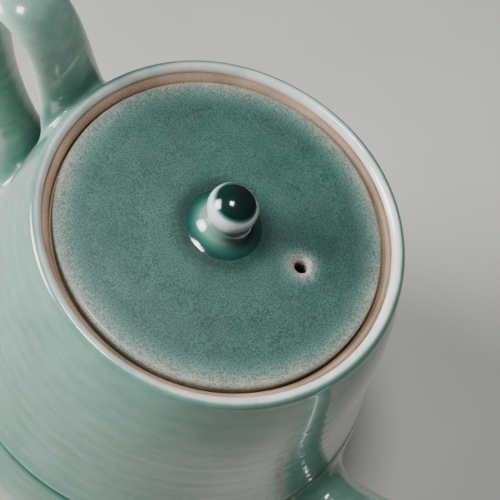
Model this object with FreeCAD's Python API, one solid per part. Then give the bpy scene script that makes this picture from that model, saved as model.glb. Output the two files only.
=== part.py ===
import FreeCAD, Part
import math
import os

# Celadon teapot: a thrown bell-shaped pot with a flat inset lid, a loop handle and a low-set spout.
# Millimetres. +Z is up, the origin is the centre of the foot on the table, the pot's axis is Z,
# the spout points along +X and the handle along -X.

# ---------------------------------------------------------------- driving dimensions
RIM_Z = 95.0              # height of the mouth's rim
RIM_IN_R = 36.0           # inner edge of the rim
LIP_DROP = 1.5            # how far the rounding of the lip comes down on either side
WALL = 3.8                # wall thickness of the thrown pot
SEAT_LET_IN = 2.4         # how far below the rim the wall is cut back for the seat

FOOT_H = 4.0              # the foot ring
FOOT_OUT_R = 40.5
FOOT_IN_R = 35.0
FOOT_BEVEL = 0.8
FLOOR_Z = 8.5             # inside floor of the pot
FLOOR_R = 38.0

GROOVE_Z = 44.5           # tooled line round the belly
GROOVE_DEPTH = 0.5
GROOVE_HALF = 0.7

SEAT_TOP_Z = 90.0         # ledge the lid rests on
SEAT_WALL_R = 34.5        # bare wall round the lid's edge
SEAT_SLOPE = 1.5          # drop of the bare band between the glazed lip and that wall
SEAT_BOTTOM_Z = 86.5
SEAT_OUT_R = 36.8         # how far the seat is let into the wall
SEAT_IN_R = 30.5          # the free mouth of the pot
SEAT_BEVEL = 0.5
UNDER_SEAT_R = 37.4       # inside of the wall just below the seat

LID_GAP = 0.15            # resting clearance between lid and ledge
LID_R = 34.0
LID_EDGE_Z = 93.5         # top of the lid at its edge
LID_MID_Z = 94.5          # top of the lid at its centre, where the knob stands
LID_HALFWAY_R = 22.0      # the dome of the lid passes through this point, this far above the edge
LID_HALFWAY_RISE = 0.66
LID_FLAT = 0.6            # flat ring on the lid beside the knob's foot
LID_ROUND = 0.9
FLANGE_OUT_R = 29.5
FLANGE_IN_R = 26.3
FLANGE_BOTTOM_Z = 84.5
FLANGE_BEVEL = 0.8

STEAM_R = 1.5             # steam hole in the lid
STEAM_AT_R = 17.7
STEAM_AZIMUTH = 18.3

KNOB_FOOT_R = 7.8
KNOB_NECK_R = 3.7
KNOB_BALL_R = 5.2         # half width of the ball
KNOB_BALL_HALF_H = 4.5
KNOB_BALL_Z = 102.1
KNOB_BALL_POINTS = 9
KNOB_STEM_DROP = 2.5      # the stem meets the ball this far below its middle
KNOB_STEM = [             # outline of the flared stem, as (radius, height above the lid)
    (KNOB_FOOT_R, 0.0), (6.3, 0.6), (4.9, 1.7), (4.0, 3.0), (KNOB_NECK_R, 4.0)]

HANDLE_W = 14.6           # the pulled strap: width across, and thickness
HANDLE_T = 6.6

SPOUT_WALL = 2.1
SPOUT_BORE_MAX_R = 7.4    # widest part of the bore, near the root
SPOUT_BORE_PAST = 3.0     # the bore runs on this far, so that the mouth is cut open
SPOUT_HOLE_R = 6.4        # hole through the pot's wall behind the spout
STRAINER_AT = (47.2, 22.8)    # centre of the pierced dome, and its outside radius
STRAINER_R = 9.4
STRAINER_WALL = 1.8
STRAINER_HOLE_R = 1.0
STRAINER_STEP = 25.0      # angle between one ring of holes and the next

CUT_PAST = 1.0            # how far a drill or a groove cutter runs on past the clay

# Outside of the thrown wall, from the foot to under the lip, as (radius, height). The groove is cut
# at its seventh point, and the inside follows the points from the third to the eleventh.
WALL_LINE = [
    (41.5, FOOT_H), (46.3, 9.0), (49.4, 16.5), (51.0, 24.0), (51.5, 31.0), (50.7, 38.0),
    (49.1, GROOVE_Z), (47.2, 52.0), (45.6, 60.0), (43.3, 75.0), (39.9, 90.0), (38.8, 93.5),
]

# Middle line of the handle, as (distance behind the axis, height above the rim, width as a share of
# the strap's). It leaves the wall just under the rim and comes back to it above the groove.
HANDLE_LINE = [
    (38.4, -11.6, 1.36), (40.8, -6.6, 1.22), (43.5, -1.2, 1.09), (46.6, 4.2, 1.02), (50.8, 9.0, 1.0),
    (56.2, 11.4, 1.0), (61.6, 9.7, 0.99), (65.2, 4.6, 0.97), (66.6, -3.5, 0.95), (65.6, -12.5, 0.94),
    (62.9, -21.0, 0.94), (59.0, -28.6, 0.97), (54.4, -35.0, 1.04), (49.4, -40.2, 1.18),
    (44.0, -44.2, 1.35),
]
HANDLE_SECTIONS = 22      # how many cross-sections shape the strap and the spout
SPOUT_SECTIONS = 15

# Middle line of the spout, as (distance in front of the axis, height, outside radius).
SPOUT_LINE = [
    (36.0, 18.6, 10.9), (41.0, 20.7, 10.6), (46.1, 22.9, 10.2), (51.1, 25.3, 9.6), (55.6, 28.0, 9.1),
    (59.9, 31.0, 8.7), (65.0, 35.3, 8.2), (75.0, 46.8, 7.4), (85.0, 61.5, 6.8), (93.5, 77.0, 6.4),
    (99.8, 91.5, 6.2),
]
SPOUT_HOLE_BACK = 12.0    # the drill for the hole starts this far back along the spout's first stretch
SPOUT_HOLE_LENGTH = 26.0


# ---------------------------------------------------------------- helpers
def at(radius, z):
    """A point of a turned profile, in the XZ plane."""
    return FreeCAD.Vector(radius, 0, z)


def spline(points):
    """One smooth edge through (radius, height) points."""
    curve = Part.BSplineCurve()
    curve.interpolate([at(r, z) for r, z in points])
    return curve.toShape()


def line(a, b):
    return Part.LineSegment(at(*a), at(*b)).toShape()


def arc(a, middle, b):
    return Part.Arc(at(*a), at(*middle), at(*b)).toShape()


def chain(points):
    """Straight edges through the points, in order."""
    return [line(a, b) for a, b in zip(points[:-1], points[1:])]


def turned(edges):
    """The solid that a closed profile sweeps round the pot's axis."""
    face = Part.Face(Part.Wire(edges))
    solid = face.revolve(FreeCAD.Vector(0, 0, 0), FreeCAD.Vector(0, 0, 1), 360)
    return Part.Solid(solid) if solid.ShapeType == "Shell" else solid


def inward(points, distance):
    """The points moved towards the axis, for the inside of a wall."""
    return [(r - distance, z) for r, z in points]


def smooth_line(line_points):
    """The curve of a middle line in the XZ plane. Its Y carries the size given at each point."""
    curve = Part.BSplineCurve()
    curve.interpolate([FreeCAD.Vector(x, size, z) for x, z, size in line_points])
    return curve


def stations(curve, count):
    """Evenly spaced (centre, direction, size) along a middle line."""
    result = []
    for i in range(count):
        u = curve.parameterAtDistance(curve.length() * i / (count - 1), curve.FirstParameter)
        point = curve.value(u)
        way = curve.tangent(u)[0]
        result.append((at(point.x, point.z), at(way.x, way.z).normalize(), point.y))
    return result


def section(centre, along, half_width, half_thick):
    """An oval wire across a middle line: wide along Y, thick in the XZ plane."""
    across = FreeCAD.Vector(0, 1, 0)
    turn = FreeCAD.Rotation(across, along.cross(across), along, "ZXY")
    if half_width - half_thick > 1e-6:
        curve = Part.Ellipse(FreeCAD.Vector(0, 0, 0), half_width, half_thick)
    else:
        curve = Part.Circle(FreeCAD.Vector(0, 0, 0), FreeCAD.Vector(0, 0, 1), half_width)
    edge = curve.toShape()
    edge.Placement = FreeCAD.Placement(centre, turn)
    return Part.Wire([edge])


def mirrored_x(solid):
    return solid.mirror(FreeCAD.Vector(0, 0, 0), FreeCAD.Vector(1, 0, 0))


def largest(shape):
    """The biggest solid of a cut, so that offcuts inside the pot are dropped."""
    return max(shape.Solids, key=lambda solid: solid.Volume)


def save(name, shape):
    solids = shape.Solids
    assert shape.isValid() and solids, name
    shape.exportStep(os.path.join("parts", name + ".step"))
    box = shape.BoundBox
    print("%-15s %d solid  %8.0f mm3  x %.1f..%.1f  y %.1f..%.1f  z %.1f..%.1f" % (
        name, len(solids), shape.Volume, box.XMin, box.XMax, box.YMin, box.YMax, box.ZMin, box.ZMax))


os.makedirs("parts", exist_ok=True)

# ---------------------------------------------------------------- pot body
lip_out = WALL_LINE[-1]
lip_in = (RIM_IN_R, RIM_Z - LIP_DROP)
lip_top = ((lip_out[0] + lip_in[0]) / 2, RIM_Z)
outer_solid = turned([spline(WALL_LINE), arc(lip_out, lip_top, lip_in)] + chain(
    [lip_in, (0, lip_in[1]), (0, FOOT_H), WALL_LINE[0]]))

# The inside follows the outside at one wall thickness, up to the underside of the lid's seat.
under_seat = (UNDER_SEAT_R, SEAT_BOTTOM_Z)
inner_wall = [(FLOOR_R, FLOOR_Z)] + inward(WALL_LINE[2:10], WALL) + [under_seat]
let_in_z = RIM_Z - SEAT_LET_IN
interior = turned([spline(inner_wall)] + chain(
    [under_seat, (0, SEAT_BOTTOM_Z), (0, FLOOR_Z), inner_wall[0]]))

mouth = turned(chain([
    (0, SEAT_BOTTOM_Z), (SEAT_OUT_R, SEAT_BOTTOM_Z), (SEAT_OUT_R, let_in_z),
    (RIM_IN_R, let_in_z), (RIM_IN_R, RIM_Z), (0, RIM_Z), (0, SEAT_BOTTOM_Z)]))

# The tooled line is a V that is GROOVE_HALF wide on either side where it leaves the wall.
groove_r = WALL_LINE[6][0]
groove_open_r = groove_r + CUT_PAST
groove_open_half = GROOVE_HALF * (GROOVE_DEPTH + CUT_PAST) / GROOVE_DEPTH
groove = turned(chain([
    (groove_open_r, GROOVE_Z - groove_open_half), (groove_r - GROOVE_DEPTH, GROOVE_Z),
    (groove_open_r, GROOVE_Z + groove_open_half), (groove_open_r, GROOVE_Z - groove_open_half)]))

# The hole behind the spout runs along the spout's first stretch.
spout_stations = stations(smooth_line(SPOUT_LINE), SPOUT_SECTIONS)
root, root_dir, root_radius = spout_stations[2]
spout_hole = Part.makeCylinder(
    SPOUT_HOLE_R, SPOUT_HOLE_LENGTH, root - root_dir * SPOUT_HOLE_BACK, root_dir)

pot_body = largest(outer_solid.cut(interior).cut(mouth).cut(groove).cut(spout_hole))
save("pot_body", pot_body)

# ---------------------------------------------------------------- foot ring
foot_ring = turned(chain([
    (FOOT_IN_R, FOOT_H), (FOOT_IN_R, FOOT_BEVEL), (FOOT_IN_R + FOOT_BEVEL, 0),
    (FOOT_OUT_R - FOOT_BEVEL, 0), (FOOT_OUT_R, FOOT_BEVEL), (FOOT_OUT_R, FOOT_H),
    (FOOT_IN_R, FOOT_H)]))
save("foot_ring", foot_ring)

# ---------------------------------------------------------------- lid seat
lid_seat = turned(chain([
    (SEAT_OUT_R, SEAT_BOTTOM_Z), (SEAT_OUT_R, let_in_z), (RIM_IN_R, let_in_z),
    lip_in, (SEAT_WALL_R, lip_in[1] - SEAT_SLOPE),
    (SEAT_WALL_R, SEAT_TOP_Z + SEAT_BEVEL), (SEAT_WALL_R - SEAT_BEVEL, SEAT_TOP_Z),
    (SEAT_IN_R + SEAT_BEVEL, SEAT_TOP_Z), (SEAT_IN_R, SEAT_TOP_Z - SEAT_BEVEL),
    (SEAT_IN_R, SEAT_BOTTOM_Z + SEAT_BEVEL), (SEAT_IN_R + SEAT_BEVEL, SEAT_BOTTOM_Z),
    (SEAT_OUT_R, SEAT_BOTTOM_Z)]))
save("lid_seat", lid_seat)

# ---------------------------------------------------------------- handle
handle_line = smooth_line([(x, RIM_Z + z, share) for x, z, share in HANDLE_LINE])
handle_sections = [
    section(centre, along, HANDLE_W / 2 * share, HANDLE_T / 2)
    for centre, along, share in stations(handle_line, HANDLE_SECTIONS)]
handle_loop = mirrored_x(Part.makeLoft(handle_sections, True, False))
handle = largest(handle_loop.cut(outer_solid))
save("handle", handle)

# ---------------------------------------------------------------- spout
spout_outside = Part.makeLoft(
    [section(centre, along, r, r) for centre, along, r in spout_stations], True, False)

# The bore follows the outside at one wall thickness, up to its widest size near the root.
bore_stations = [(centre, along, min(r - SPOUT_WALL, SPOUT_BORE_MAX_R))
                 for centre, along, r in spout_stations]
tip, tip_dir, tip_bore_r = bore_stations[-1]
bore_stations.append((tip + tip_dir * SPOUT_BORE_PAST, tip_dir, tip_bore_r))
bore_sections = [section(centre, along, r, r) for centre, along, r in bore_stations]
spout_bore = Part.makeLoft(bore_sections, True, False)
spout = largest(spout_outside.cut(outer_solid).cut(spout_bore))
save("spout", spout)

# ---------------------------------------------------------------- spout strainer
# A clay dome over the hole, on the inside of the wall, pierced by rings of small holes.
dome_centre = at(*STRAINER_AT)
dome_inside_r = STRAINER_R - STRAINER_WALL
dome = Part.makeSphere(STRAINER_R, dome_centre).cut(Part.makeSphere(dome_inside_r, dome_centre))


def strainer_hole(lean_deg, turn):
    """A drill through the dome, leaning from the level line into the pot."""
    lean = math.radians(lean_deg)
    way = FreeCAD.Vector(-math.cos(lean), math.sin(lean) * math.cos(turn), math.sin(lean) * math.sin(turn))
    start = dome_centre + way * (dome_inside_r - CUT_PAST)
    return Part.makeCylinder(STRAINER_HOLE_R, STRAINER_WALL + 2 * CUT_PAST, start, way)


drills = [strainer_hole(0, 0)]
for ring in (1, 2):
    drills += [strainer_hole(ring * STRAINER_STEP, math.pi * i / (3 * ring)) for i in range(6 * ring)]
spout_strainer = largest(dome.cut(drills).common(interior))
save("spout_strainer", spout_strainer)

# ---------------------------------------------------------------- lid
lid_under_z = SEAT_TOP_Z + LID_GAP
corner = LID_ROUND * (1 - math.sqrt(0.5))
lid_edges = [
    line((0, lid_under_z), (LID_R - LID_ROUND, lid_under_z)),
    arc((LID_R - LID_ROUND, lid_under_z), (LID_R - corner, lid_under_z + corner),
        (LID_R, lid_under_z + LID_ROUND)),
    line((LID_R, lid_under_z + LID_ROUND), (LID_R, LID_EDGE_Z - LID_ROUND)),
    arc((LID_R, LID_EDGE_Z - LID_ROUND), (LID_R - corner, LID_EDGE_Z - corner),
        (LID_R - LID_ROUND, LID_EDGE_Z)),
    spline([
        (LID_R - LID_ROUND, LID_EDGE_Z), (LID_HALFWAY_R, LID_EDGE_Z + LID_HALFWAY_RISE),
        (KNOB_FOOT_R + LID_FLAT, LID_MID_Z)]),
    line((KNOB_FOOT_R + LID_FLAT, LID_MID_Z), (0, LID_MID_Z)),
    line((0, LID_MID_Z), (0, lid_under_z)),
]
steam_angle = math.radians(STEAM_AZIMUTH)
steam_start = FreeCAD.Vector(
    STEAM_AT_R * math.cos(steam_angle), STEAM_AT_R * math.sin(steam_angle), lid_under_z - CUT_PAST)
steam_hole = Part.makeCylinder(STEAM_R, LID_MID_Z - lid_under_z + 2 * CUT_PAST, steam_start)
lid_plate = turned(lid_edges).cut(steam_hole)
save("lid_plate", largest(lid_plate))

lid_flange = turned(chain([
    (FLANGE_IN_R, lid_under_z), (FLANGE_IN_R, FLANGE_BOTTOM_Z + FLANGE_BEVEL),
    (FLANGE_IN_R + FLANGE_BEVEL, FLANGE_BOTTOM_Z), (FLANGE_OUT_R - FLANGE_BEVEL, FLANGE_BOTTOM_Z),
    (FLANGE_OUT_R, FLANGE_BOTTOM_Z + FLANGE_BEVEL),
    (FLANGE_OUT_R, lid_under_z), (FLANGE_IN_R, lid_under_z)]))
save("lid_flange", lid_flange)

# ---------------------------------------------------------------- lid knob
# A flared stem that narrows to a neck and carries a slightly flattened ball.
start = math.asin(-KNOB_STEM_DROP / KNOB_BALL_HALF_H)
ball = []
for i in range(KNOB_BALL_POINTS):
    angle = start + (math.pi / 2 - start) * i / (KNOB_BALL_POINTS - 1)
    ball.append((KNOB_BALL_R * math.cos(angle), KNOB_BALL_Z + KNOB_BALL_HALF_H * math.sin(angle)))
ball[-1] = (0.0, KNOB_BALL_Z + KNOB_BALL_HALF_H)
stem = [(r, LID_MID_Z + z) for r, z in KNOB_STEM] + [ball[0]]
lid_knob = turned([spline(stem), spline(ball)] + chain([ball[-1], (0, LID_MID_Z), stem[0]]))
save("lid_knob", lid_knob)
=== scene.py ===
import math
import bpy
import numpy as np
from mathutils import Matrix, Vector


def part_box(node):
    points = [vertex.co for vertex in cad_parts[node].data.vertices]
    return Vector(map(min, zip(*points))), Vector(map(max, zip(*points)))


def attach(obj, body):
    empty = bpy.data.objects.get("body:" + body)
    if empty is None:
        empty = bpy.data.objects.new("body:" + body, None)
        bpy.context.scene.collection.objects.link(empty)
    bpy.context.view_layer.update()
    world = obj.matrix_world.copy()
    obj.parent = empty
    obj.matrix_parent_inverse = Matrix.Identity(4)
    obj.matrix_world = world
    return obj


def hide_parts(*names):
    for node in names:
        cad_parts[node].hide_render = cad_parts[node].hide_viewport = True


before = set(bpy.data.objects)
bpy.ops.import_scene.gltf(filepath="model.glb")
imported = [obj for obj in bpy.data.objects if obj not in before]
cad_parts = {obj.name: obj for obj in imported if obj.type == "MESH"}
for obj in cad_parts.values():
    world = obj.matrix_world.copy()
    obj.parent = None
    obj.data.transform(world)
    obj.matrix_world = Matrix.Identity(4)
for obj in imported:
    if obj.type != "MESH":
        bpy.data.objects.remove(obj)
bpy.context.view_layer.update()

# ---------------------------------------------------------------- camera
# Looks steeply down past the pot's near side onto the lid, tilted, with the knob left of the middle,
# the handle leaving at the top left and the root of the spout at the bottom right.
MM = 0.001
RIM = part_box("pot_body")[1].z / MM          # height of the mouth's rim

CAMERA_AIM = (7.4, -0.3, RIM)               # a point just beside the knob
CAMERA_AWAY = 277.9
CAMERA_AZIMUTH = -77.45
CAMERA_ELEVATION = 60.45
CAMERA_ROLL = 32.2
CAMERA_LENS = 100.8


def toward(azimuth, elevation):
    """Unit vector towards a compass direction, in degrees from +X, and a height above the horizon."""
    a, e = math.radians(azimuth), math.radians(elevation)
    return Vector((math.cos(a) * math.cos(e), math.sin(a) * math.cos(e), math.sin(e)))


def look(where, direction, roll=0.0):
    """Matrix of a camera or lamp at a place in millimetres, that looks against the direction."""
    turn = direction.to_track_quat("Z", "Y").to_matrix().to_4x4()
    return Matrix.Translation(where * MM) @ turn @ Matrix.Rotation(math.radians(roll), 4, "Z")


camera = bpy.data.objects.new("camera", bpy.data.cameras.new("camera"))
camera.data.sensor_width = 36.0
camera.data.lens = CAMERA_LENS
camera.data.clip_start = 10 * MM
away = toward(CAMERA_AZIMUTH, CAMERA_ELEVATION)
camera.matrix_world = look(Vector(CAMERA_AIM) + away * CAMERA_AWAY, away, CAMERA_ROLL)
bpy.context.collection.objects.link(camera)
bpy.context.scene.camera = camera

# ---------------------------------------------------------------- pot body
# A stoneware wall thrown on the wheel, narrow at the mouth and full at the belly, with the rings that
# the potter's fingers left and one tooled line. Dipped in celadon, which runs thin and pale on the lip
# and pools darker in the line and below it.
WALL_LINE = [
    (41.5, 4.0), (46.3, 9.0), (49.4, 16.5), (51.0, 24.0), (51.5, 31.0), (50.7, 38.0),
    (49.1, 44.5), (47.2, 52.0), (45.6, 60.0), (43.3, 75.0), (39.9, 90.0), (38.8, 93.5),
]
WALL = 3.8
RIM_IN_R = 36.0
SEAT_OUT_R = 36.8
SEAT_BOTTOM = 86.5
LET_IN = RIM - 2.4
FLOOR = 8.5
GROOVE = 44.5
GROOVE_DEPTH = 0.5
GROOVE_HALF = 0.55
RING_PITCH = 4.7           # from one finger ring to the next
RING_DEPTH = 0.02
FLOOR_R = 38.0
SLICES = 256               # points round a turned piece


def smooth(points, count):
    """Evenly spaced points on a natural cubic spline through the given ones."""
    p = np.array(points, float)
    t = np.concatenate([[0.0], np.cumsum(np.linalg.norm(np.diff(p[:, :2], axis=0), axis=1))])
    h = np.diff(t)
    n = len(t)
    system, bend = np.eye(n), np.zeros_like(p)
    for i in range(1, n - 1):
        system[i, i - 1:i + 2] = h[i - 1], 2 * (h[i - 1] + h[i]), h[i]
        bend[i] = 6 * ((p[i + 1] - p[i]) / h[i] - (p[i] - p[i - 1]) / h[i - 1])
    m = np.linalg.solve(system, bend)
    s = np.linspace(0.0, t[-1], count)
    k = np.clip(np.searchsorted(t, s, "right") - 1, 0, n - 2)
    a, b, w = (t[k + 1] - s)[:, None], (s - t[k])[:, None], h[k][:, None]
    return ((m[k] * a ** 3 + m[k + 1] * b ** 3) / (6 * w)
            + (p[k] / w - m[k] * w / 6) * a + (p[k + 1] / w - m[k + 1] * w / 6) * b)


wall_curve = smooth(WALL_LINE, 400)


def bump_at(z, centre, half):
    """A soft bump of height 1 at a level."""
    return np.exp(-((z - centre) / half) ** 2)


def wall_radius(z, angle):
    """Radius of the thrown wall's outside, with its finger rings and tooled line."""
    rings = np.sin(2 * math.pi * (z / RING_PITCH + angle / (2 * math.pi)))
    rings += 0.6 * np.sin(2 * math.pi * (z / (RING_PITCH * 0.61) + angle / (2 * math.pi)) + 1.3)
    strength = 0.55 + 0.45 * np.sin(z / 9.0 + 0.7)
    fade = np.clip((RIM - 4 - z) / 8, 0, 1) * np.clip((z - 8) / 8, 0, 1)
    out = np.interp(z, wall_curve[:, 1], wall_curve[:, 0]) + RING_DEPTH * rings * strength * fade
    out -= GROOVE_DEPTH * bump_at(z, GROOVE, GROOVE_HALF)
    return out + 0.18 * bump_at(z, GROOVE + 1.3, 0.8) + 0.12 * bump_at(z, GROOVE - 1.3, 0.8)


def on_wall(angle, z, lift=0.0):
    """Points of the wall's outside, an array ending in x, y, z."""
    r = wall_radius(z, angle) + lift
    return np.stack([r * np.cos(angle), r * np.sin(angle), z + 0 * angle], axis=-1)


def skin(name, rings, material, glaze=None, loop=False):
    """A closed mesh over rings of points: an array of ring, point round the ring, x y z in mm.
    loop joins the last ring to the first, otherwise both ends are capped. glaze is how thick the
    glaze lies at each point, from 0 to 1."""
    n, m = rings.shape[:2]
    index = np.arange(n * m).reshape(n, m)
    low = index if loop else index[:-1]
    high = np.roll(index, -1, axis=0) if loop else index[1:]
    quads = np.stack([low, np.roll(low, -1, axis=1), np.roll(high, -1, axis=1), high], axis=-1)
    faces = quads.reshape(-1, 4).tolist()
    if not loop:
        faces += [index[0][::-1].tolist(), index[-1].tolist()]
    mesh = bpy.data.meshes.new(name)
    mesh.from_pydata((rings.reshape(-1, 3) * MM).tolist(), [], faces)
    if glaze is not None:
        layer = mesh.attributes.new("glaze", "FLOAT", "POINT")
        layer.data.foreach_set("value", np.broadcast_to(glaze, (n, m)).reshape(-1).astype(float))
    mesh.materials.append(material)
    mesh.shade_smooth()
    piece = bpy.data.objects.new(name, mesh)
    bpy.context.collection.objects.link(piece)
    return piece


def turned(name, profile, material, glaze=None, loop=False, shape=None, slices=SLICES):
    """A piece thrown on the wheel: its profile, (radius, height) in mm, turned round the axis.
    shape moves the points, given as radius, height and angle arrays."""
    profile = np.array(profile, float)
    angle = np.linspace(0, 2 * math.pi, slices, endpoint=False)[None, :]
    r = np.repeat(profile[:, :1], slices, axis=1)
    z = np.repeat(profile[:, 1:2], slices, axis=1)
    angle = np.repeat(angle, len(profile), axis=0)
    if shape:
        r, z = shape(r, z, angle)
    rings = np.stack([r * np.cos(angle), r * np.sin(angle), z], axis=-1)
    return skin(name, rings, material, None if glaze is None else glaze(r, z, angle), loop)


def rounded(corners, radius, steps=5):
    """Points along straight runs whose inner corners are rounded."""
    c = [np.array(p, float) for p in corners]
    points = [c[0]]
    for before, corner, after in zip(c, c[1:], c[2:]):
        back, on = before - corner, after - corner
        cut = min(radius, 0.48 * np.linalg.norm(back), 0.48 * np.linalg.norm(on))
        start = corner + back / np.linalg.norm(back) * cut
        end = corner + on / np.linalg.norm(on) * cut
        for t in np.linspace(0, 1, steps):
            points.append((1 - t) ** 2 * start + 2 * t * (1 - t) * corner + t ** 2 * end)
    return points + [c[-1]]


def spaced(points, step):
    """The same run of points, with more of them wherever two are further apart than a step."""
    result = [np.array(points[0], float)]
    for a, b in zip(points, points[1:]):
        a, b = np.array(a, float), np.array(b, float)
        count = max(1, int(math.ceil(np.linalg.norm(b - a) / step)))
        result += [a + (b - a) * (i + 1) / count for i in range(count)]
    return result


def linear(hex_colour):
    """Linear RGBA of an sRGB hex value."""
    value = hex_colour.lstrip("#")
    channels = [int(value[i:i + 2], 16) / 255 for i in (0, 2, 4)]
    return tuple(c / 12.92 if c <= 0.04045 else ((c + 0.055) / 1.055) ** 2.4 for c in channels) + (1.0,)


def add(tree, kind, settings=None, **inputs):
    """A node with its settings and inputs. An input is a value, or a socket to link from."""
    node = tree.nodes.new(kind)
    for name, value in (settings or {}).items():
        setattr(node, name, value)
    for name, value in inputs.items():
        socket = node.inputs[int(name[1:])] if name[0] == "i" and name[1:].isdigit() else node.inputs[
            name.replace("_", " ")]
        if isinstance(value, bpy.types.NodeSocket):
            tree.links.new(value, socket)
        else:
            socket.default_value = value
    return node


def ramp(tree, factor, stops):
    """A colour ramp through (position, hex colour) stops."""
    node = add(tree, "ShaderNodeValToRGB", Fac=factor)
    elements = node.color_ramp.elements
    while len(elements) < len(stops):
        elements.new(0.5)
    for element, (position, colour) in zip(elements, stops):
        element.position = position
        element.color = linear(colour)
    return node.outputs["Color"]


def new_material(name):
    """An empty material: its node tree and its shader."""
    material = bpy.data.materials.new(name)
    material.use_nodes = True
    return material, material.node_tree, material.node_tree.nodes["Principled BSDF"]


def grain(tree, size_mm, detail=2.0, stretch=(1, 1, 1)):
    """Noise whose lumps are about a size in millimetres, in the object's own space."""
    place = add(tree, "ShaderNodeTexCoord").outputs["Object"]
    place = add(tree, "ShaderNodeMapping", Vector=place, Scale=stretch).outputs["Vector"]
    noise = add(tree, "ShaderNodeTexNoise", Vector=place, Scale=1 / (size_mm * MM), Detail=detail)
    return noise.outputs["Fac"]


# The glaze's pattern: clouds as wide as a finger, drifts where it ran, and the faint ripple of a glassy
# skin. Real bubbles are near a tenth of a millimetre, so the specks are drawn coarser in order to show.
CLOUD_MM = 13.0
DRIFT_MM = 4.0
PEEL_MM = 2.2


def celadon(name, stops, cloud, speckle, speckle_mm, roughness, coat, thickness=None):
    """Reduction-fired celadon: a glassy glaze over pale stoneware, seen through its own depth. It is
    darker and greener where it lies thick, clouded at a finger's width, and speckled where fine
    bubbles hang in it. thickness is one depth for a piece that has no glaze attribute."""
    material, tree, shader = new_material(name)
    depth = thickness
    if thickness is None:
        depth = add(tree, "ShaderNodeAttribute", {"attribute_name": "glaze"}).outputs["Fac"]
    clouds = grain(tree, CLOUD_MM, 3.0)
    drifts = grain(tree, DRIFT_MM, 2.0, (1, 1, 2.5))
    specks = grain(tree, speckle_mm, 1.0)
    for noise, strength in ((clouds, cloud), (drifts, cloud * 0.6), (specks, speckle * 0.25)):
        centred = add(tree, "ShaderNodeMath", {"operation": "SUBTRACT"}, i0=noise, i1=0.5).outputs[0]
        depth = add(tree, "ShaderNodeMath", {"operation": "MULTIPLY_ADD"},
                    i0=centred, i1=strength, i2=depth).outputs[0]
    fleck = add(tree, "ShaderNodeMapRange", Value=specks, From_Min=0.36, From_Max=0.64,
                To_Min=1 - speckle, To_Max=1 + speckle).outputs[0]
    colour = add(tree, "ShaderNodeHueSaturation", Value=fleck, Color=ramp(tree, depth, stops))
    tree.links.new(colour.outputs[0], shader.inputs["Base Color"])
    gloss = add(tree, "ShaderNodeMapRange", Value=clouds, From_Min=0.3, From_Max=0.7,
                To_Min=roughness * 0.8, To_Max=roughness * 1.25).outputs[0]
    tree.links.new(gloss, shader.inputs["Roughness"])
    peel = grain(tree, PEEL_MM, 2.0)
    bump = add(tree, "ShaderNodeBump", Strength=0.10, Distance=0.0003, Height=peel)
    fine = add(tree, "ShaderNodeBump", Strength=0.15, Distance=0.0001, Height=specks,
               Normal=bump.outputs[0])
    tree.links.new(fine.outputs[0], shader.inputs["Normal"])
    shader.inputs["IOR"].default_value = 1.5
    shader.inputs["Coat Weight"].default_value = coat
    shader.inputs["Coat Roughness"].default_value = 0.06
    shader.inputs["Coat IOR"].default_value = 1.5
    return material


POT_STOPS = [
    (0.0, "#E4E6DF"), (0.14, "#A3BBAE"), (0.32, "#6F9587"), (0.55, "#4F7869"), (0.78, "#33584B"),
    (1.0, "#1F3F36")]
# Glossy pot glaze: clouded grey-green, with hardly a speck, and a clear reflection of the lamps.
pot_glaze = celadon("celadon_gloss_glaze", POT_STOPS, 0.30, 0.05, 0.45, 0.20, 0.8)

lip_out_r, lip_out_z = WALL_LINE[-1]

# How thick the glaze lies, from 0 for bare to 1 for a deep pool.
WALL_GLAZE = 0.42          # just under the rim
WALL_RUN = 0.14            # how much thicker it lies once it has run this far down
WALL_RUN_DOWN = 60.0
RING_GLAZE = 0.02          # more in each finger ring, less on the ridge beside it
GROOVE_POOL = 0.34
GROOVE_EDGE_THIN = 0.12    # it breaks thin over the edge above the tooled line
FOOT_POOL = 0.20
FOOT_POOL_Z = 7.0
CREST_GLAZE = 0.03
CREST_BACK = 0.8           # the pale crest starts this far in from the lip's outer edge


def wall_glaze(r, z, angle):
    """Thin on the lip, a little thicker down the wall, pooled in the tooled line and at the foot."""
    depth = WALL_GLAZE + WALL_RUN * np.clip((RIM - z) / WALL_RUN_DOWN, 0, 1)
    rings = np.sin(2 * math.pi * (z / RING_PITCH + angle / (2 * math.pi)))
    depth = depth - RING_GLAZE * rings
    depth = depth + GROOVE_POOL * bump_at(z, GROOVE, 0.45)
    depth = depth - GROOVE_EDGE_THIN * bump_at(z, GROOVE + 1.2, 0.7)
    depth = depth + FOOT_POOL * bump_at(z, FOOT_POOL_Z, 4.0)
    crest = np.clip((lip_out_r - CREST_BACK - r) / 0.6, 0, 1) * np.clip((z - RIM + 2) / 0.4, 0, 1)
    return depth * (1 - crest) + CREST_GLAZE * crest


def wall_shape(r, z, angle):
    """The finger rings on the outside, and the slight wander of a hand-turned rim."""
    outside = r < 0
    r = np.where(outside, wall_radius(z, angle), r)
    near_rim = np.clip((z - (RIM - 12)) / 12, 0, 1)
    wander = near_rim * (0.16 * np.sin(2 * angle + 0.6) + 0.09 * np.sin(5 * angle + 2.0))
    return r + 0.6 * wander, z + 0.7 * wander * np.clip((z - (RIM - 3)) / 3, 0, 1)


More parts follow.
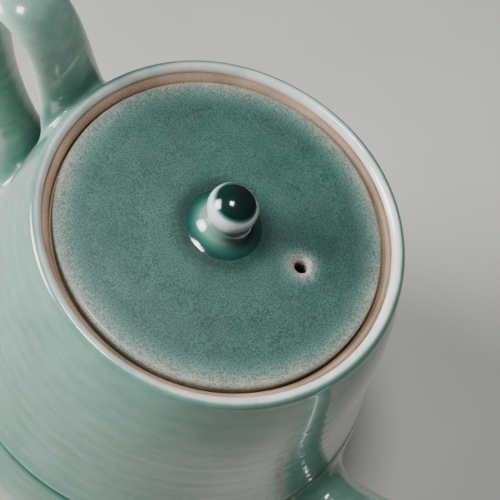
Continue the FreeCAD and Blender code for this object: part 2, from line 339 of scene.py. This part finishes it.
lip_half = (lip_out_r - RIM_IN_R) / 2
lip_turn = np.linspace(0, math.pi, 14)[1:]
lip = [(RIM_IN_R + lip_half * (1 + math.cos(t)), lip_out_z + (RIM - lip_out_z) * math.sin(t))
       for t in lip_turn]
outside_z = np.concatenate([
    np.linspace(4.0, GROOVE - 2.5, 70), np.linspace(GROOVE - 2.4, GROOVE + 2.4, 26),
    np.linspace(GROOVE + 2.5, lip_out_z, 84)])
inner_wall = smooth(
    [(FLOOR_R, FLOOR)] + [(r - WALL, z) for r, z in WALL_LINE[2:10]]
    + [(SEAT_OUT_R + 0.6, SEAT_BOTTOM)], 60)
pot_profile = spaced([(12.0, 4.0), (41.0, 4.0)], 6.0)
pot_profile += [(-1.0, z) for z in outside_z]        # the radius comes from the wall's own shape
pot_profile += lip
pot_profile += rounded(
    [lip[-1], (RIM_IN_R, LET_IN), (SEAT_OUT_R, LET_IN), (SEAT_OUT_R, SEAT_BOTTOM)], 0.15, 4)[1:]
pot_profile += list(inner_wall[::-1][:-1])
pot_profile += rounded([inner_wall[1], (FLOOR_R, FLOOR), (12.0, FLOOR)], 3.0, 6)[1:]
pot = turned("pot_wall", pot_profile, pot_glaze, wall_glaze, shape=wall_shape)

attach(pot, "pot")
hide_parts("pot_body")

# ---------------------------------------------------------------- foot ring
# A low ring trimmed under the pot and wiped clean of glaze, so that it doesn't stick to the kiln
# shelf. Bare stoneware, toasted brown by the fire.
foot_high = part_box("foot_ring")[1]
FOOT_OUT_R = foot_high.x / MM
FOOT_TOP = foot_high.z / MM
FOOT_WIDTH = 5.5
FOOT_IN_R = FOOT_OUT_R - FOOT_WIDTH
FOOT_ROUND = 0.9
FOOT_SEAM_R = FOOT_IN_R + 2        # where the outline starts and ends, on the flat top


def bare_clay(name, stops):
    """Unglazed stoneware: dry, matt and a little sandy, with iron specks and a toasted blush."""
    material, tree, shader = new_material(name)
    blush = grain(tree, 16.0, 2.0)
    sand = grain(tree, 0.5, 3.0)
    tone = add(tree, "ShaderNodeMath", {"operation": "MULTIPLY_ADD"}, i0=sand, i1=0.35, i2=blush)
    tone = add(tree, "ShaderNodeMath", {"operation": "SUBTRACT"}, i0=tone.outputs[0], i1=0.17)
    tree.links.new(ramp(tree, tone.outputs[0], stops), shader.inputs["Base Color"])
    bump = add(tree, "ShaderNodeBump", Strength=0.5, Distance=0.0002, Height=sand)
    tree.links.new(bump.outputs[0], shader.inputs["Normal"])
    shader.inputs["Roughness"].default_value = 0.85
    return material


# Toasted bare clay: it reads as a dry, matt warm brown beside the wet-looking glaze.
CLAY_STOPS = [(0.2, "#77604F"), (0.5, "#A48A73"), (0.75, "#C3A68C")]
clay = bare_clay("bare_toasted_stoneware", CLAY_STOPS)
foot_profile = rounded([
    (FOOT_SEAM_R, FOOT_TOP), (FOOT_IN_R, FOOT_TOP), (FOOT_IN_R, 0), (FOOT_OUT_R, 0),
    (FOOT_OUT_R, FOOT_TOP), (FOOT_SEAM_R, FOOT_TOP)], FOOT_ROUND, 5)
foot = turned("foot_ring_bare", foot_profile[:-1], clay, loop=True)
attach(foot, "pot")
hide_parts("foot_ring")

# ---------------------------------------------------------------- lid seat
# The gallery inside the mouth: a bare band that slopes in from the glazed lip to the lid's edge, then
# a short wall and a ledge that the lid sits on. It is left unglazed so that the lid doesn't fuse to it.
SEAT_TOP = 90.0
SEAT_IN_R = 30.5
SEAT_WALL_R = 34.5
SEAT_SLOPE = 1.5
SEAT_ROUND = 0.35
SEAT_SEAM_R = SEAT_OUT_R - 1       # where the outline starts and ends, on the flat underside
seat_profile = [(SEAT_SEAM_R, SEAT_BOTTOM), (SEAT_OUT_R, SEAT_BOTTOM), (SEAT_OUT_R, LET_IN),
                (RIM_IN_R, LET_IN)]
seat_profile += rounded([
    (RIM_IN_R, lip_out_z), (SEAT_WALL_R, lip_out_z - SEAT_SLOPE), (SEAT_WALL_R, SEAT_TOP),
    (SEAT_IN_R, SEAT_TOP), (SEAT_IN_R, SEAT_BOTTOM), (SEAT_SEAM_R, SEAT_BOTTOM)], SEAT_ROUND, 5)
seat = turned("lid_seat_bare", seat_profile[:-1], clay, loop=True)
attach(seat, "pot")
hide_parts("lid_seat")

# ---------------------------------------------------------------- handle
# A strap pulled from a lump of wet clay, bent into a finger's loop and luted to the wall under the
# rim and on the belly, with the joints smoothed over by a thumb.
HANDLE_LINE = [
    (38.4, RIM - 11.6, 1.36), (40.8, RIM - 6.6, 1.22), (43.5, RIM - 1.2, 1.09), (46.6, RIM + 4.2, 1.02),
    (50.8, RIM + 9.0, 1.0), (56.2, RIM + 11.4, 1.0), (61.6, RIM + 9.7, 0.99), (65.2, RIM + 4.6, 0.97),
    (66.6, RIM - 3.5, 0.95), (65.6, RIM - 12.5, 0.94), (62.9, RIM - 21.0, 0.94),
    (59.0, RIM - 28.6, 0.97), (54.4, RIM - 35.0, 1.04), (49.4, RIM - 40.2, 1.18),
    (44.0, RIM - 44.2, 1.35)]
HANDLE_W = 14.6
HANDLE_T = 6.6
HANDLE_AROUND = 56         # points round the strap
HANDLE_FILLET = 3.0
SINK = 0.4                 # how far the end of a luted joint lies inside the wall


def tube_points(line, width, thickness, around, side):
    """Points of a tube along a middle line in the XZ plane, as an array of station, angle, x y z.
    width and thickness are one number or one for each station. side is 1 in front of the axis and
    -1 behind it."""
    x, z = line[:, 0], line[:, 1]
    way = np.stack([np.gradient(x), np.gradient(z)], axis=-1)
    way /= np.linalg.norm(way, axis=1)[:, None]
    turn = np.linspace(0, 2 * math.pi, around, endpoint=False)
    across = np.cos(turn)[None, :] * (width + 0 * x)[:, None] / 2
    up = np.sin(turn)[None, :] * (thickness + 0 * x)[:, None] / 2
    px = x[:, None] - way[:, 1:2] * up
    pz = z[:, None] + way[:, 0:1] * up
    return np.stack([side * px, -side * across, pz], axis=-1)


def outside_wall(points):
    """How far points lie outside the pot's wall."""
    x, y, z = points[..., 0], points[..., 1], points[..., 2]
    return np.hypot(x, y) - wall_radius(z, np.arctan2(y, x))


def luted(points, fillet, steps=10):
    """The end of a tube, blended into the wall. points runs from inside the wall outwards. Returns
    the rings of the fillet, from inside the wall to the tube, and for each line of the tube the
    station where the fillet ends."""
    around = points.shape[1]
    gap = outside_wall(points)
    step = np.linalg.norm(np.diff(points, axis=0), axis=2).mean()
    entry = np.zeros(around)
    for j in range(around):
        i = int(np.nonzero(gap[:, j] < 0)[0].max())
        entry[j] = i + gap[i, j] / (gap[i, j] - gap[i + 1, j])
    meet = at_station(points, entry)
    leave = entry + fillet / step
    middle = meet.mean(axis=0)
    spread = meet - middle
    spread /= np.linalg.norm(spread, axis=1)[:, None]
    foot_points = meet + spread * fillet
    angle = np.arctan2(foot_points[:, 1], foot_points[:, 0])
    level = np.minimum(foot_points[:, 2], RIM - 2.0)
    foot_points = on_wall(angle, level)
    tube_end = at_station(points, leave)
    rings = [on_wall(angle, level, -SINK)]
    for t in np.linspace(0, 1, steps):
        rings.append((1 - t) ** 2 * foot_points + 2 * t * (1 - t) * meet + t ** 2 * tube_end)
    return np.array(rings), leave


def at_station(points, station):
    """For each line of a tube, its point at a fractional station."""
    low = np.clip(np.floor(station).astype(int), 0, len(points) - 2)
    part = (station - low)[:, None]
    lines = np.arange(points.shape[1])
    return points[low, lines] * (1 - part) + points[low + 1, lines] * part


handle_line = smooth(HANDLE_LINE, 500)
handle_tube = tube_points(handle_line, HANDLE_W * handle_line[:, 2], HANDLE_T, HANDLE_AROUND, -1)
half = len(handle_tube) // 2
top_rings, top_leave = luted(handle_tube[:half], HANDLE_FILLET)
low_rings, low_leave = luted(handle_tube[::-1][:half], HANDLE_FILLET)
low_leave = len(handle_tube) - 1 - low_leave
loop_rings = [at_station(handle_tube, top_leave + (low_leave - top_leave) * t)
              for t in np.linspace(0, 1, 130)[1:-1]]
handle_rings = np.concatenate([top_rings, np.array(loop_rings), low_rings[::-1]])


STRAP_GLAZE = 0.27
STRAP_EDGE_THIN = 0.12
STRAP_JOINT_POOL = 0.24


def handle_glaze(rings):
    """Thin along the strap's two edges, thicker along its flats and pooled in the joints."""
    along = np.linspace(0, 1, len(rings))[:, None]
    turn = np.linspace(0, 2 * math.pi, rings.shape[1], endpoint=False)[None, :]
    pooled = bump_at(along, 0.06, 0.035) + bump_at(along, 0.94, 0.035)
    return STRAP_GLAZE - STRAP_EDGE_THIN * np.cos(turn) ** 4 + STRAP_JOINT_POOL * pooled


handle = skin("handle_strap", handle_rings, pot_glaze, handle_glaze(handle_rings))
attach(handle, "pot")
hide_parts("handle")

# ---------------------------------------------------------------- spout
# A thin cone thrown on its own, cut at a slant and luted low on the belly over the strainer. It rises
# to the level of the rim and ends in a small rounded lip.
SPOUT_LINE = [
    (36.0, 18.6, 10.9), (41.0, 20.7, 10.6), (46.1, 22.9, 10.2), (51.1, 25.3, 9.6), (55.6, 28.0, 9.1),
    (59.9, 31.0, 8.7), (65.0, 35.3, 8.2), (75.0, 46.8, 7.4), (85.0, 61.5, 6.8), (93.5, 77.0, 6.4),
    (99.8, 91.5, 6.2)]
SPOUT_WALL = 2.1
SPOUT_BORE_MAX = 7.4
SPOUT_FILLET = 7.0
SPOUT_AROUND = 72          # points round the spout
TIP_STATIONS = 4           # stations at the tip that are left for the rounded lip
spout_line = smooth(SPOUT_LINE, 400)
spout_tube = tube_points(spout_line, 2 * spout_line[:, 2], 2 * spout_line[:, 2], SPOUT_AROUND, 1)
root_rings, root_leave = luted(spout_tube, SPOUT_FILLET)
lip_station = len(spout_tube) - 1 - TIP_STATIONS
outer_rings = [at_station(spout_tube, root_leave + (lip_station - root_leave) * t)
               for t in np.linspace(0, 1, 110)[1:]]
bore = 2 * np.minimum(spout_line[:, 2] - SPOUT_WALL, SPOUT_BORE_MAX)
bore_tube = tube_points(spout_line, bore, bore, SPOUT_AROUND, 1)
bore_gap = outside_wall(bore_tube)
bore_start = np.array(
    [np.nonzero(bore_gap[:, j] < -SINK)[0].max() for j in range(SPOUT_AROUND)], float)
bore_rings = [at_station(bore_tube, bore_start + (lip_station - bore_start) * t)
              for t in np.linspace(0, 1, 60)]
tip_out, tip_in = outer_rings[-1], bore_rings[-1]
tip_way = spout_tube[-1].mean(axis=0) - spout_tube[-6].mean(axis=0)
tip_way /= np.linalg.norm(tip_way)
lip_rings = [tip_out * (1 + math.cos(t)) / 2 + tip_in * (1 - math.cos(t)) / 2
             + tip_way * math.sin(t) * SPOUT_WALL / 2 for t in np.linspace(0, math.pi, 9)[1:-1]]
spout_rings = np.concatenate([root_rings, outer_rings, lip_rings, bore_rings[::-1]])


SPOUT_GLAZE = 0.27
SPOUT_JOINT_POOL = 0.12
SPOUT_LIP_THIN = 0.24


def spout_glaze(rings):
    """Thin on the spout's lip, pooled where it joins the belly."""
    row = np.arange(len(rings))[:, None]
    lip_row = len(root_rings) + len(outer_rings) + len(lip_rings) / 2
    pooled = bump_at(row, len(root_rings) * 0.5, len(root_rings) * 0.7)
    return SPOUT_GLAZE + SPOUT_JOINT_POOL * pooled - SPOUT_LIP_THIN * bump_at(row, lip_row, 6.0)


spout = skin("spout_cone", spout_rings, pot_glaze, spout_glaze(spout_rings), loop=True)
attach(spout, "pot")
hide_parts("spout")

# ---------------------------------------------------------------- spout strainer
# A small pierced dome of clay, stuck over the hole behind the spout from inside, that keeps leaves
# out of the cup. Glazed with the inside of the pot.
strainer_glaze = celadon("celadon_strainer_glaze", POT_STOPS, 0.3, 0.1, 0.45, 0.25, 0.6, thickness=0.5)
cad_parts["spout_strainer"].material_slots[0].material = strainer_glaze

# ---------------------------------------------------------------- lid plate
# A thrown disc, nearly flat, with one steam hole pierced beside the knob. Its glaze lies thick and
# dark on top, full of fine bubbles, and runs thin to a grey-buff band at the rounded edge.
LID_R = 34.0
LID_UNDER = 90.15
LID_EDGE = 93.5
LID_MID = 94.5
LID_ROUND = 0.9
LID_FLAT_R = 8.4           # the top is flat this far out, for the knob's foot
STEAM_R = 1.5
STEAM_AT = toward(18.3, 0) * 17.7

LID_STOPS = [
    (0.0, "#B5B4A6"), (0.08, "#8F9386"), (0.16, "#76877D"), (0.30, "#5F7C72"), (0.45, "#486B62"),
    (0.66, "#30534C"), (0.85, "#1C3B36"), (1.0, "#0D201E")]
# Satin lid glaze: thick and dark, full of bubbles that scatter the light, so it shines softly.
lid_glaze = celadon("celadon_lid_glaze", LID_STOPS, 0.26, 0.42, 0.33, 0.42, 0.15)


def lid_height(r):
    """Level of the lid's top at a radius."""
    fall = np.clip((r - LID_FLAT_R) / (LID_R - LID_ROUND - LID_FLAT_R), 0, 1) ** 1.5
    return LID_MID - (LID_MID - LID_EDGE) * fall


def from_steam(r, angle):
    """How far a place on the lid is from the middle of the steam hole."""
    return np.hypot(r * np.cos(angle) - STEAM_AT.x, r * np.sin(angle) - STEAM_AT.y)


def lid_shape(r, z, angle):
    """The top's finger marks, and the soft swelling round the steam hole."""
    top = np.clip((z - (LID_EDGE - 0.2)) / 0.2, 0, 1)
    d = from_steam(r, angle)
    halo = 0.06 * np.exp(-((d - 3.4) / 1.2) ** 2) - 0.45 * np.clip((2.5 - d) / 1.0, 0, 1) ** 2
    marks = 0.05 * np.sin(r / 2.3 + angle) * np.clip((30 - r) / 6, 0, 1)
    return r, z + top * (halo + marks)


LID_GLAZE = 0.60
LID_EDGE_THIN = 0.50
LID_EDGE_FROM = 27.5       # the glaze starts to thin out here, and is thinnest 5.5 mm further on
LID_EDGE_FADE = 5.5
KNOB_JOINT_POOL = 0.26
HALO_GLAZE = 0.02
HALO_FROM = 1.6            # the pale halo fades from this far off the steam hole's middle
HALO_FADE = 2.2
UNDERSIDE_GLAZE = 0.06


def lid_glaze_depth(r, z, angle):
    """Thick over the middle, thickest round the knob's foot, thin at the edge, round the steam hole
    and on the underside."""
    depth = LID_GLAZE - LID_EDGE_THIN * np.clip((r - LID_EDGE_FROM) / LID_EDGE_FADE, 0, 1) ** 1.5
    depth = depth + KNOB_JOINT_POOL * np.exp(-(np.clip(r - LID_FLAT_R, 0, None) / 2.2) ** 2)
    halo = np.exp(-(np.clip(from_steam(r, angle) - HALO_FROM, 0, None) / HALO_FADE) ** 2)
    depth = depth * (1 - 0.95 * halo) + HALO_GLAZE * halo
    return np.where(z < LID_EDGE - 1.6, UNDERSIDE_GLAZE, depth)


lid_under = spaced([(3.0, LID_UNDER), (LID_R - LID_ROUND, LID_UNDER)], 3.0)
lid_side = rounded(
    [lid_under[-2], (LID_R, LID_UNDER), (LID_R, LID_EDGE), (LID_R - 3, LID_EDGE)], LID_ROUND, 6)
lid_top = [(r, float(lid_height(r))) for r in np.linspace(LID_R - LID_ROUND - 0.4, 2.0, 92)]
lid = turned("lid_disc", lid_under[:-1] + lid_side[1:-1] + lid_top, lid_glaze, lid_glaze_depth,
             shape=lid_shape, slices=320)


def drill(piece, centre, radius, low, high):
    """A round upright hole through a piece."""
    turn = np.linspace(0, 2 * math.pi, 48, endpoint=False)
    ring = np.stack([centre.x + radius * np.cos(turn), centre.y + radius * np.sin(turn), 0 * turn], axis=-1)
    rings = np.array([ring + (0, 0, low), ring + (0, 0, high)])
    bit = skin("drill", rings, piece.data.materials[0], np.full(rings.shape[:2], 0.1))
    cut = piece.modifiers.new("hole", "BOOLEAN")
    cut.object = bit
    cut.solver = "EXACT"
    shown = piece.evaluated_get(bpy.context.evaluated_depsgraph_get())
    mesh = bpy.data.meshes.new_from_object(shown)
    piece.modifiers.clear()
    piece.data = mesh
    bpy.data.objects.remove(bit)


drill(lid, STEAM_AT, STEAM_R, LID_UNDER - 3, LID_MID + 3)
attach(lid, "lid")
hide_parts("lid_plate")

# ---------------------------------------------------------------- lid flange
# The collar under the lid that drops into the mouth and keeps the lid from sliding off while pouring.
# Bare clay, like the seat it goes into.
flange_low, flange_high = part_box("lid_flange")
FLANGE_OUT_R = flange_high.x / MM
FLANGE_BOTTOM = flange_low.z / MM
FLANGE_WALL = 3.2
FLANGE_ROUND = 0.8
FLANGE_IN_R = FLANGE_OUT_R - FLANGE_WALL
FLANGE_SEAM_R = FLANGE_IN_R + 1    # where the outline starts and ends, against the lid
flange_profile = rounded([
    (FLANGE_SEAM_R, LID_UNDER), (FLANGE_IN_R, LID_UNDER), (FLANGE_IN_R, FLANGE_BOTTOM),
    (FLANGE_OUT_R, FLANGE_BOTTOM), (FLANGE_OUT_R, LID_UNDER), (FLANGE_SEAM_R, LID_UNDER)],
    FLANGE_ROUND, 5)
flange = turned("lid_flange_bare", flange_profile[:-1], clay, loop=True)
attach(flange, "lid")
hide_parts("lid_flange")

# ---------------------------------------------------------------- lid knob
# Thrown in one with a flared stem: a slightly flattened ball on a narrow neck. The glaze breaks to a
# pale ring round the ball's widest part, is mid green on the stem and lies dark at the foot. The crown
# is near black: its thick teal glaze plus a painted reflection of the dark room above.
KNOB_FOOT_R = 7.8
KNOB_BALL_R = 5.2
KNOB_BALL_HALF_H = 4.5
KNOB_BALL_Z = LID_MID + 7.6
KNOB_STEM_DROP = 2.5       # the stem meets the ball this far below its middle
ball_start = math.asin(-KNOB_STEM_DROP / KNOB_BALL_HALF_H)
ball = [(KNOB_BALL_R * math.cos(t), KNOB_BALL_Z + KNOB_BALL_HALF_H * math.sin(t))
        for t in np.linspace(ball_start, math.pi / 2 - 0.04, 30)]
stem = smooth([
    (KNOB_FOOT_R + 0.4, LID_MID - 0.1), (6.3, LID_MID + 0.6), (4.9, LID_MID + 1.7), (4.0, LID_MID + 3.0),
    (3.7, LID_MID + 4.0), ball[0]], 26)


KNOB_GLAZE = 0.03
# the crown's thick glaze, darkened past its own teal as a painted reflection of the dark room above
CROWN_GLAZE_AND_DARK_REFLECTION = 0.95
CROWN_FROM = 2.1           # the crown's dark glaze and painted dark reflection start this far above the ball's middle
STEM_POOL = 0.36
KNOB_FOOT_POOL = 0.50


def knob_glaze_depth(r, z, angle):
    """Thin round the ball's widest part, thick under it and pooled at the foot; on the crown, thick glaze
    darkened further as a painted reflection of the dark room above.
    """
    crown = np.clip((z - KNOB_BALL_Z - CROWN_FROM) / 0.9, 0, 1)
    under_ball = np.clip((KNOB_BALL_Z - 1.6 - z) / 1.2, 0, 1)
    foot = np.clip((LID_MID + 1.6 - z) / 1.6, 0, 1)
    return KNOB_GLAZE + CROWN_GLAZE_AND_DARK_REFLECTION * crown + STEM_POOL * under_ball + KNOB_FOOT_POOL * foot


knob_profile = [(4.0, LID_MID - 0.1)] + list(stem[:-1]) + ball
# Glossy knob glaze: it breaks from deep teal to cream within a millimetre. The near-black end, used on the
# crown, is partly a painted reflection of the dark room above.
KNOB_STOPS = [
    (0.0, "#D3D9D2"), (0.14, "#A9BDB2"), (0.32, "#6F8F84"), (0.55, "#3E6B61"), (0.8, "#1B423C"),
    (1.0, "#0A201D")]
knob_glaze = celadon("celadon_knob_glaze", KNOB_STOPS, 0.1, 0.06, 0.45, 0.12, 0.9)
knob = turned("lid_knob_ball", knob_profile, knob_glaze, knob_glaze_depth, slices=96)
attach(knob, "lid")
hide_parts("lid_knob")

# ---------------------------------------------------------------- floor and light
# A plain pale table top, a large soft lamp low on the handle's side as the key, a smaller one overhead
# for the lid and the top of the handle, and a faint even fill.
FLOOR_HALF = 2500.0
floor_corners = [(x * FLOOR_HALF * MM, y * FLOOR_HALF * MM, 0)
                 for x, y in ((-1, -1), (1, -1), (1, 1), (-1, 1))]
floor_mesh = bpy.data.meshes.new("floor")
floor_mesh.from_pydata(floor_corners, [], [(0, 1, 2, 3)])
# Matt plaster-white table: pale and plain, a little uneven at the width of a hand.
floor_material, tree, shader = new_material("pale_plaster_floor")
tree.links.new(ramp(tree, grain(tree, 60.0, 3.0), [(0.3, "#BFBDB8"), (0.7, "#C9C7C2")]),
               shader.inputs["Base Color"])
shader.inputs["Roughness"].default_value = 0.8
floor_mesh.materials.append(floor_material)
floor = bpy.data.objects.new("floor", floor_mesh)
bpy.context.collection.objects.link(floor)


def lamp(name, aim, direction, distance, size, power, spread):
    """A square soft lamp that shines at a point from a direction, with its light in a cone."""
    light = bpy.data.lights.new(name, "AREA")
    light.size = size * MM
    light.spread = math.radians(spread)
    light.energy = power
    lamp_object = bpy.data.objects.new(name, light)
    lamp_object.matrix_world = look(Vector(aim) + direction * distance, direction)
    bpy.context.collection.objects.link(lamp_object)


POT_MIDDLE = (0, 0, 66)
lamp("key_lamp", POT_MIDDLE, toward(-144, 18), 700, 460, 1.9, 48)
lamp("ceiling_lamp", POT_MIDDLE, toward(-150, 78), 1000, 220, 1.3, 80)
world = bpy.data.worlds.new("studio")
bpy.context.scene.world = world
world.use_nodes = True
world.node_tree.nodes["Background"].inputs["Color"].default_value = linear("#E8ECF0")
world.node_tree.nodes["Background"].inputs["Strength"].default_value = 0.06
